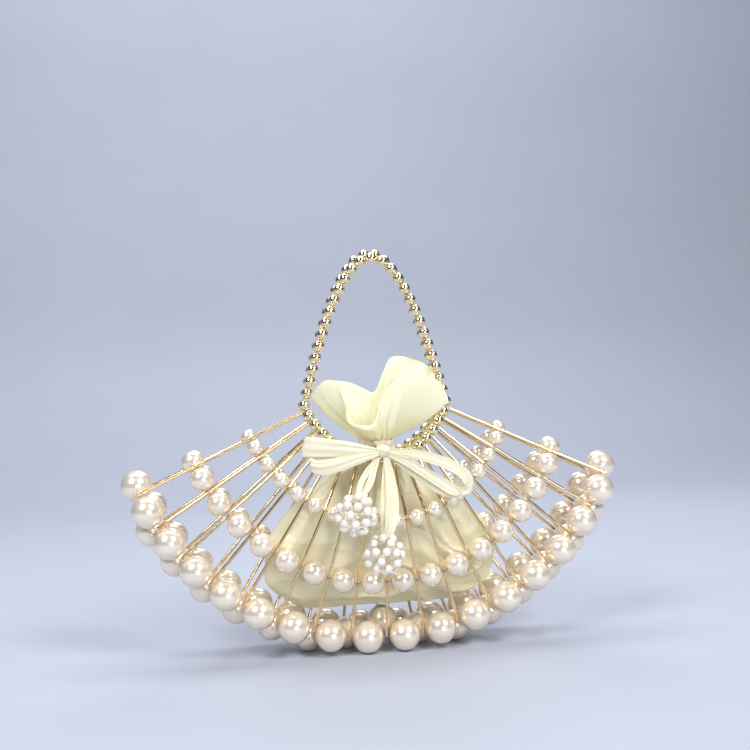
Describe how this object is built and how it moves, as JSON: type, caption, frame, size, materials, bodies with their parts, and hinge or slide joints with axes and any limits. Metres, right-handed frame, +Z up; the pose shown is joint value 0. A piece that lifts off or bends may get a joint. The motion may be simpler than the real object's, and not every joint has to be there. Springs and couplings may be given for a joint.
{
  "type": "flower girl basket",
  "caption": "Fan-shaped flower girl basket: gold tube ribs strung with ivory pearls, beaded twin handles, a satin drawstring pouch, ribbon bow and pearl-cluster tassels.",
  "frame": {"origin": "on the table plane under the lowest pearls, midway between the two fan panels and midway between the fan's ends. The tassels hang in front, so it is not the middle of the bounding box", "axes": "+X along the fan from its left end to its right end as seen from the front, -Y to the front where the bow and tassels hang, +Z up to the handles"},
  "size_m": [0.2612, 0.0783, 0.2075],
  "materials": {
    "pearl": "ivory pearl lacquer, satin gloss",
    "gold": "polished pale gold tube",
    "gold_bead": "pale gold electroplate, mirror gloss",
    "wire": "bright wire",
    "clear_line": "clear nylon line",
    "satin": "pale cream-yellow satin, soft sheen",
    "ribbon": "cream satin ribbon"
  },
  "bodies": {
    "cage": {"rib_tubes_front_inner": "gold", "rib_tubes_front_middle": "gold", "rib_tubes_front_outer": "gold", "pearls_front_small": "pearl", "pearls_front_medium": "pearl", "pearls_front_large": "pearl", "ring_beads_front": "gold_bead", "ring_wire_front": "wire", "rib_tubes_back_inner": "gold", "rib_tubes_back_middle": "gold", "rib_tubes_back_outer": "gold", "pearls_back_small": "pearl", "pearls_back_medium": "pearl", "pearls_back_large": "pearl", "ring_beads_back": "gold_bead", "ring_wire_back": "wire", "pearls_gusset": "pearl", "pearls_end_medium": "pearl", "pearls_end_small": "pearl", "stringing_lines_ribs": "clear_line", "stringing_lines_rows": "clear_line", "pouch_body": "satin", "pouch_ruffle": "satin", "neck_drawstring": "ribbon", "bow_knot": "ribbon", "bow_loop_left_upper": "ribbon", "bow_loop_left_lower": "ribbon", "bow_loop_right_upper": "ribbon", "bow_loop_right_lower": "ribbon"},
    "handle_front": {"handle_beads_front": "gold_bead", "handle_wire_front": "wire"},
    "handle_back": {"handle_beads_back": "gold_bead", "handle_wire_back": "wire"},
    "tassel_left": {"ribbon_tail_left": "ribbon", "cluster_pearls_left": "pearl", "cluster_line_left": "clear_line"},
    "tassel_right": {"ribbon_tail_right": "ribbon", "cluster_pearls_right": "pearl", "cluster_line_right": "clear_line"}
  },
  "joints": [
    {"name": "handle_front_fold", "type": "hinge", "parent": "cage", "child": "handle_front", "pos_m": [0, -0.0038, 0.126], "axis": [1, 0, 0], "range_deg": [0, 95]},
    {"name": "handle_back_fold", "type": "hinge", "parent": "cage", "child": "handle_back", "pos_m": [0, 0.0038, 0.126], "axis": [-1, 0, 0], "range_deg": [0, 95]},
    {"name": "tassel_left_swing", "type": "hinge", "parent": "cage", "child": "tassel_left", "pos_m": [0, -0.0215, 0.1015], "axis": [-1, 0, 0], "range_deg": [0, 60]},
    {"name": "tassel_right_swing", "type": "hinge", "parent": "cage", "child": "tassel_right", "pos_m": [0, -0.0215, 0.1015], "axis": [-1, 0, 0], "range_deg": [0, 75]}
  ]
}
